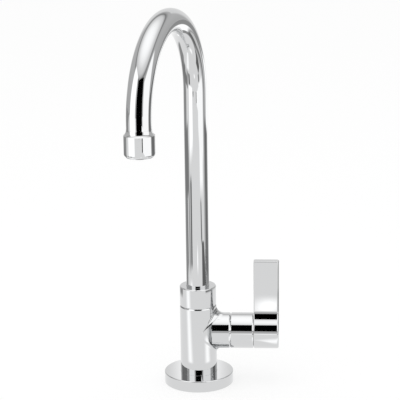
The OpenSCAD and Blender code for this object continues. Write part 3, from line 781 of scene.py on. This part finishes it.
NODE_FINISHES = {
    "base_gasket": "rubber", "deck_rubber_washer": "rubber", "deck_steel_washer": "steel",
    "fixing_nut": "brass", "lower_slip_washer": "slip_plastic", "upper_slip_washer": "slip_plastic",
    "spout_ferrule": "brass", "spout_oring_lower": "rubber", "spout_oring_upper": "rubber",
    "aerator_housing": "chrome", "aerator_core": "core_plastic", "aerator_screen": "steel",
    "aerator_washer": "rubber", "cartridge_seal": "rubber", "cartridge_body": "brass",
    "fixed_disc": "ceramic", "moving_disc": "ceramic", "cartridge_spindle": "brass",
    "spindle_oring_inner": "rubber", "spindle_oring_outer": "rubber", "spindle_clip": "steel",
    "grub_screw": "steel",
    "base_flange": "chrome", "tap_body": "chrome", "spout_nut": "chrome", "spout_tube": "chrome",
    "outlet_collar": "chrome", "valve_sleeve": "chrome", "lever_handle": "chrome",
    "threaded_shank": "brass",
}


class TAP_OT_inner_parts(bpy.types.Operator):
    """Gives every part of the frame its own finish"""

    bl_idname = "tap.inner_parts"
    bl_label = "Finish the inner parts"

    def execute(self, context):
        for name, kind in NODE_FINISHES.items():
            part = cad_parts[name]
            part.data.materials.clear()
            part.data.materials.append(finish(kind))
        return {"FINISHED"}


# Studio


def soft_edge_group():
    """Soft edges: one in the middle of a card, falling to zero at its edges over the given shares of its sides."""
    found = bpy.data.node_groups.get("Soft edges")
    if found:
        return found
    group = bpy.data.node_groups.new("Soft edges", "ShaderNodeTree")
    for label in ("Across", "Along"):
        group.interface.new_socket(name=label, in_out="INPUT", socket_type="NodeSocketFloat")
    group.interface.new_socket(name="Mask", in_out="OUTPUT", socket_type="NodeSocketFloat")
    entry = node(group, "NodeGroupInput", (-900, -200))
    leave = node(group, "NodeGroupOutput", (500, 0))
    place = node(group, "ShaderNodeTexCoord", (-900, 100))
    parts = node(group, "ShaderNodeSeparateXYZ", (-700, 100))
    both = node(group, "ShaderNodeMath", (300, 0), operation="MULTIPLY")
    group.links.new(place.outputs["UV"], parts.inputs["Vector"])
    for k, (axis, label) in enumerate((("X", "Across"), ("Y", "Along"))):
        far = node(group, "ShaderNodeMath", (-500, -150 * k), operation="SUBTRACT")
        far.inputs[0].default_value = 1
        near = node(group, "ShaderNodeMath", (-300, -150 * k), operation="MINIMUM")
        fade = node(group, "ShaderNodeMapRange", (-100, -150 * k), interpolation_type="SMOOTHSTEP")
        group.links.new(parts.outputs[axis], far.inputs[1])
        group.links.new(parts.outputs[axis], near.inputs[0])
        group.links.new(far.outputs[0], near.inputs[1])
        group.links.new(near.outputs[0], fade.inputs["Value"])
        group.links.new(entry.outputs[label], fade.inputs["From Max"])
        group.links.new(fade.outputs["Result"], both.inputs[k])
    group.links.new(both.outputs[0], leave.inputs["Mask"])
    return group


def glow(name, level, soft):
    """A card's glow, a painted reflection: one grey that fades out towards the card's edges."""
    material = bpy.data.materials.new(name)
    material.use_nodes = True
    tree = material.node_tree
    tree.nodes.clear()
    light = node(tree, "ShaderNodeEmission", (0, 0))
    light.inputs["Color"].default_value = (1, 1, 1, 1)
    light.inputs["Strength"].default_value = level
    clear = node(tree, "ShaderNodeBsdfTransparent", (0, 150))
    edges = node(tree, "ShaderNodeGroup", (0, 300), node_tree=soft_edge_group())
    edges.inputs["Across"].default_value = max(soft[0], HARD_EDGE)
    edges.inputs["Along"].default_value = max(soft[1], HARD_EDGE)
    mix = node(tree, "ShaderNodeMixShader", (250, 100))
    leave = node(tree, "ShaderNodeOutputMaterial", (450, 0))
    tree.links.new(edges.outputs["Mask"], mix.inputs[0])
    tree.links.new(clear.outputs[0], mix.inputs[1])
    tree.links.new(light.outputs[0], mix.inputs[2])
    tree.links.new(mix.outputs[0], leave.inputs["Surface"])
    return material


def aimed(x, y, z):
    """A place given as seen from the camera: x to the right, y away from it, in millimetres."""
    return Matrix.Rotation(bpy.context.scene.tap_studio.camera_turn, 3, "Z") @ Vector((x, y, z)) * MM


def hang(piece, name, level, soft):
    """Ends the edit of a card, names it, makes it glow and leaves it to the reflections alone."""
    bmesh.update_edit_mesh(piece.data)
    bpy.ops.object.mode_set(mode="OBJECT")
    piece.name = name
    piece.data.materials.append(glow(name, level, soft))
    # The card lights nothing, casts no shadow and stays out of the camera's sight: it is only a painted reflection
    # in the chrome
    piece.visible_camera = False
    piece.visible_diffuse = False
    piece.visible_transmission = False
    piece.visible_volume_scatter = False
    piece.visible_shadow = False


def standing_card(name, left, right, low, high, level, soft):
    """An upright card between two points on the floor: a plane whose corners are moved to their places."""
    clear_selection()
    bpy.ops.mesh.primitive_plane_add(size=1)
    piece = bpy.context.object
    bpy.ops.object.mode_set(mode="EDIT")
    mesh = bmesh.from_edit_mesh(piece.data)
    for corner, place in zip(mesh.faces[:][0].verts, ((*left, low), (*right, low), (*right, high), (*left, high))):
        corner.co = aimed(*place)
    hang(piece, name, level, soft)


def floor_sheet(name, near_turns, far_turns, near, far, level, height, soft):
    """A sheet above the floor between two directions, in degrees from the camera's side, and two distances.
    The directions are given at the near and at the far edge. It is a grid bent round the tap."""
    clear_selection()
    bpy.ops.mesh.primitive_grid_add(x_subdivisions=24, y_subdivisions=8, size=1)
    piece = bpy.context.object
    bpy.ops.object.mode_set(mode="EDIT")
    mesh = bmesh.from_edit_mesh(piece.data)
    for v in mesh.verts:
        u, w = v.co.x + 0.5, v.co.y + 0.5
        start, stop = (a + (b - a) * w for a, b in zip(near_turns, far_turns))
        turn = math.radians(start + (stop - start) * u)
        reach = near * (far / near) ** w
        v.co = aimed(math.sin(turn) * reach, -math.cos(turn) * reach, height)
    hang(piece, name, level, soft)


# Upright cards, painted highlights and painted dark reflections that only the chrome mirrors: name, left and right
# foot, lower and upper edge, grey, shares of the sides over which it fades
STANDING_CARDS = (
    # Painted reflections of softboxes at both sides, of the pale wall behind the tap and of low walls beside it
    ("left_softbox", (-330, -150), (-190, -390), 100, 560, 1.6, (0.12, 0.06)),
    ("right_softbox", (220, -490), (380, -60), 95, 520, 1.45, (0.12, 0.06)),
    ("back_wall", (-900, 1300), (900, 1300), 0, 1150, 0.88, (0.15, 0.05)),
    ("low_wall_left", (-233, 233), (-323, -69), 80, 165, 0.28, (0.08, 0.15)),
    ("low_wall_right", (329, 29), (270, 189), 80, 165, 0.2, (0.08, 0.15)),
    ("back_strip", (106, 56), (56, 106), 188, 262, 1.5, (0.25, 0.15)),
    ("back_fill", (149, 18), (124, 82), 188, 242, 0.78, (0.25, 0.25)),
    ("glow_behind", (-36, 200), (36, 200), 55, 122, 1.5, (0.5, 0.12)),
    # Black panels and one pale strip in front, painted dark reflections and a painted highlight for the outlet leg
    # and the horizontal barrels
    ("front_panel", (-200, -518), (190, -518), 154, 610, 0, (0, 0.008)),
    ("near_panel", (-111, -310), (72, -310), 330, 434, 0, (0, 0)),
    ("outlet_strip", (66, -411), (97, -398), 160, 186, 0, (0, 0)),
    ("outlet_glow", (97, -398), (233, -268), 160, 186, 1.45, (0, 0)),
)
# Sheets just above the floor that only the upright tubes mirror, painted dark reflections and painted highlights:
# name, directions of the near and of the far edge, near and far distance, grey, height above the floor, shares of
# the sides over which it fades
FLOOR_SHEETS = (
    ("grey_left", (-152, -104), (-152, -82), 232, 3900, 0.36, 0.3, (0.2, 0.03)),
    ("grey_right", (86, 156), (86, 156), 258, 3900, 0.36, 0.3, (0.12, 0.02)),
    ("side_left", (-88, -60), (-88, -72), 300, 1000, 0.5, 0.5, (0.25, 0.15)),
    ("side_right", (76, 92), (80, 96), 285, 3900, 0.6, 0.5, (0.3, 0.02)),
    ("dark_left", (-66, -46), (-66, -44), 320, 760, 0.18, 0.8, (0.3, 0.12)),
    ("dark_left_back", (-108, -92), (-112, -94), 300, 700, 0.28, 0.8, (0.3, 0.2)),
    ("dark_right", (44, 96), (46, 72), 258, 440, 0.16, 0.8, (0.15, 0.06)),
    ("dark_right_front", (38, 56), (36, 48), 410, 640, 0.22, 0.9, (0.3, 0.2)),
    ("dark_right_back", (96, 132), (96, 132), 290, 3900, 0.2, 0.8, (0.25, 0.04)),
    ("white_far", (33, 70), (33, 68), 600, 3900, 1.5, 1.0, (0.15, 0.1)),
    ("white_left", (-72, -24), (-86, -44), 62, 300, 1.5, 1.0, (0.5, 0.08)),
    ("white_right", (28, 78), (30, 74), 62, 140, 1.5, 1.0, (0.5, 0.15)),
    ("front_spot", (-4, 10), (-4, 10), 300, 440, 1.7, 1.2, (0.5, 0.45)),
)

FLOOR_RADIUS = 4
FLOOR_DROP = 0.05 * MM
FLOOR_GREY = 0.95
SHADOW_SHARE = 0.25  # how much of the floor's shading the camera sees

LAMP_PLACE = (-0.2, -0.3, 1.7)
LAMP_TURN = (math.radians(12), 0, math.radians(-34))
LAMP_WIDTH = 1.2
LAMP_POWER = 5

# The photograph's viewpoint: small turns from straight ahead, place in front of the tap, and lens
CAMERA_YAW = math.radians(0.13)
CAMERA_TILT = math.radians(14.71)
CAMERA_ROLL = math.radians(-0.80)
CAMERA_PLACE = (0, -1241.25 * MM, 483.2 * MM)
CAMERA_LENS = 140.81


def floor_material(settings):
    material = bpy.data.materials.new("Pale floor")
    material.use_nodes = True
    tree = material.node_tree
    tree.nodes.clear()
    path = node(tree, "ShaderNodeLightPath", (-700, 300))
    side = node(tree, "ShaderNodeNewGeometry", (-700, -300))
    matt = node(tree, "ShaderNodeBsdfDiffuse", (-450, -100))
    matt.inputs["Color"].default_value = (FLOOR_GREY,) * 3 + (1,)
    white = node(tree, "ShaderNodeEmission", (-450, 100))
    white.inputs["Strength"].default_value = 1
    faint = node(tree, "ShaderNodeMixShader", (-200, 0))
    faint.inputs[0].default_value = SHADOW_SHARE
    grey = node(tree, "ShaderNodeEmission", (-450, 250))
    grey.inputs["Color"].default_value = (settings.floor_level,) * 3 + (1,)
    seen = node(tree, "ShaderNodeMixShader", (50, 0))
    mirror = node(tree, "ShaderNodeMixShader", (250, 0))
    clear = node(tree, "ShaderNodeBsdfTransparent", (250, -200))
    both = node(tree, "ShaderNodeMixShader", (450, 0))
    leave = node(tree, "ShaderNodeOutputMaterial", (650, 0))
    tree.links.new(white.outputs[0], faint.inputs[1])
    tree.links.new(matt.outputs[0], faint.inputs[2])
    tree.links.new(path.outputs["Is Camera Ray"], seen.inputs[0])
    tree.links.new(matt.outputs[0], seen.inputs[1])
    tree.links.new(faint.outputs[0], seen.inputs[2])
    tree.links.new(path.outputs["Is Glossy Ray"], mirror.inputs[0])
    tree.links.new(seen.outputs[0], mirror.inputs[1])
    tree.links.new(grey.outputs[0], mirror.inputs[2])
    tree.links.new(side.outputs["Backfacing"], both.inputs[0])
    tree.links.new(mirror.outputs[0], both.inputs[1])
    tree.links.new(clear.outputs[0], both.inputs[2])
    tree.links.new(both.outputs[0], leave.inputs["Surface"])
    return material


# Grey of the tent that only reflections see, a painted reflection with a dark band near 39 degrees, by height above
# the horizon in degrees
SKY_LEVELS = (
    (0, 0.55), (20, 0.62), (32, 0.6), (36, 0.45), (39, 0.25), (42, 0.6), (46, 0.88), (52, 1.0),
    (60, 1.25), (70, 1.42), (85, 1.5),
)


def white_world(settings):
    world = bpy.data.worlds.new("White tent")
    bpy.context.scene.world = world
    world.use_nodes = True
    tree = world.node_tree
    tree.nodes.clear()
    path = node(tree, "ShaderNodeLightPath", (-600, 200))
    soft = node(tree, "ShaderNodeBackground", (-200, -100))
    soft.inputs["Color"].default_value = (1, 1, 1, 1)
    soft.inputs["Strength"].default_value = settings.light_level
    tent = node(tree, "ShaderNodeBackground", (-200, 100))
    tent.inputs["Color"].default_value = (1, 1, 1, 1)
    tent.inputs["Strength"].default_value = settings.sky_level
    direction = node(tree, "ShaderNodeTexCoord", (-1000, -200))
    height = node(tree, "ShaderNodeSeparateXYZ", (-800, -200))
    shades = node(tree, "ShaderNodeValToRGB", (-600, -200))
    for rise, level in SKY_LEVELS:
        place = math.sin(math.radians(rise))
        step = shades.color_ramp.elements[0] if rise == 0 else shades.color_ramp.elements.new(place)
        step.position = place
        step.color = (level, level, level, 1)
    shades.color_ramp.elements.remove(shades.color_ramp.elements[-1])
    room = node(tree, "ShaderNodeBackground", (-200, 300))
    mirrored = node(tree, "ShaderNodeMixShader", (200, 100))
    tree.links.new(direction.outputs["Generated"], height.inputs["Vector"])
    tree.links.new(height.outputs["Z"], shades.inputs["Fac"])
    tree.links.new(shades.outputs["Color"], room.inputs["Color"])
    add = node(tree, "ShaderNodeMath", (-400, 200), operation="MAXIMUM")
    more = node(tree, "ShaderNodeMath", (-400, 350), operation="MAXIMUM")
    mix = node(tree, "ShaderNodeMixShader", (50, 0))
    leave = node(tree, "ShaderNodeOutputWorld", (250, 0))
    tree.links.new(path.outputs["Is Camera Ray"], add.inputs[0])
    tree.links.new(path.outputs["Is Glossy Ray"], add.inputs[1])
    tree.links.new(add.outputs[0], more.inputs[0])
    tree.links.new(path.outputs["Is Transmission Ray"], more.inputs[1])
    tree.links.new(more.outputs[0], mix.inputs[0])
    tree.links.new(soft.outputs[0], mix.inputs[1])
    tree.links.new(tent.outputs[0], mix.inputs[2])
    tree.links.new(path.outputs["Is Glossy Ray"], mirrored.inputs[0])
    tree.links.new(mix.outputs[0], mirrored.inputs[1])
    tree.links.new(room.outputs[0], mirrored.inputs[2])
    tree.links.new(mirrored.outputs[0], leave.inputs["Surface"])


def place_camera():
    """Puts the camera at the photograph's viewpoint, as fitted to the tap's own edges."""
    turn = Matrix.Rotation(bpy.context.scene.tap_studio.camera_turn, 3, "Z")
    yaw, tilt, roll = CAMERA_YAW, CAMERA_TILT, CAMERA_ROLL
    ahead = turn @ Vector((math.sin(yaw) * math.cos(tilt), math.cos(yaw) * math.cos(tilt), -math.sin(tilt)))
    right = turn @ Vector((math.cos(yaw), -math.sin(yaw), 0))
    up = right.cross(ahead)
    image_right = right * math.cos(roll) + up * math.sin(roll)
    image_up = up * math.cos(roll) - right * math.sin(roll)
    facing = Matrix((image_right, image_up, -ahead)).transposed()
    clear_selection()
    bpy.ops.object.camera_add(location=turn @ Vector(CAMERA_PLACE), rotation=facing.to_euler())
    camera = bpy.context.object
    camera.data.lens = CAMERA_LENS
    camera.data.sensor_width = 36
    camera.data.clip_start = 0.05
    camera.data.clip_end = 50
    bpy.context.scene.camera = camera


class TAP_OT_studio(bpy.types.Operator):
    """Builds the pale floor, the white tent, the cards with painted reflections, the soft lamp and the camera"""

    bl_idname = "tap.studio"
    bl_label = "Studio"

    def execute(self, context):
        settings = context.scene.tap_studio
        context.scene.view_settings.view_transform = "Standard"
        clear_selection()
        bpy.ops.mesh.primitive_circle_add(
            vertices=PLAIN_STEPS, radius=FLOOR_RADIUS, fill_type="NGON", location=(0, 0, -FLOOR_DROP),
        )
        ground = context.object
        ground.name = "floor"
        ground.data.materials.append(floor_material(settings))
        white_world(settings)
        bpy.ops.object.light_add(type="AREA", location=LAMP_PLACE, rotation=LAMP_TURN)
        lamp = context.object
        lamp.data.shape = "DISK"
        lamp.data.size = LAMP_WIDTH
        lamp.data.energy = LAMP_POWER
        lamp.visible_glossy = False
        for values in STANDING_CARDS:
            standing_card(*values)
        for values in FLOOR_SHEETS:
            floor_sheet(*values)
        place_camera()
        return {"FINISHED"}


class TAP_PT_panel(bpy.types.Panel):
    """Lists the tap's pieces, sizes and finishes"""

    bl_idname = "TAP_PT_panel"
    bl_label = "Tall basin tap"
    bl_space_type = "VIEW_3D"
    bl_region_type = "UI"
    bl_category = "Tap"

    def draw(self, context):
        for step in STEPS:
            self.layout.operator(step.bl_idname)
        for group in GROUPS:
            box = self.layout.box()
            settings = getattr(context.scene, group)
            for key in settings.__annotations__:
                box.prop(settings, key)


STEPS = (
    TAP_OT_inner_parts, TAP_OT_flange, TAP_OT_body, TAP_OT_spout_nut, TAP_OT_gooseneck, TAP_OT_outlet,
    TAP_OT_sleeve, TAP_OT_lever, TAP_OT_shank, TAP_OT_studio,
)
GROUPS = {
    "tap_body_sizes": TapBodySizes, "tap_spout_sizes": SpoutSizes, "tap_lever_sizes": LeverSizes,
    "tap_fixing_sizes": FixingSizes, "tap_finishes": TapFinishes, "tap_studio": StudioSettings,
}
CLASSES = (*GROUPS.values(), *STEPS, TAP_PT_panel)


def register():
    for made in CLASSES:
        bpy.utils.register_class(made)
    for name, made in GROUPS.items():
        setattr(bpy.types.Scene, name, PointerProperty(type=made))


def unregister():
    for name in GROUPS:
        delattr(bpy.types.Scene, name)
    for made in reversed(CLASSES):
        bpy.utils.unregister_class(made)


def main():
    register()
    bpy.ops.tap.inner_parts()
    bpy.ops.tap.flange()
    bpy.ops.tap.body()
    bpy.ops.tap.spout_nut()
    bpy.ops.tap.gooseneck()
    bpy.ops.tap.outlet()
    bpy.ops.tap.sleeve()
    bpy.ops.tap.lever()
    bpy.ops.tap.shank()
    bpy.ops.tap.studio()
    clear_selection()


if __name__ == "__main__":
    main()
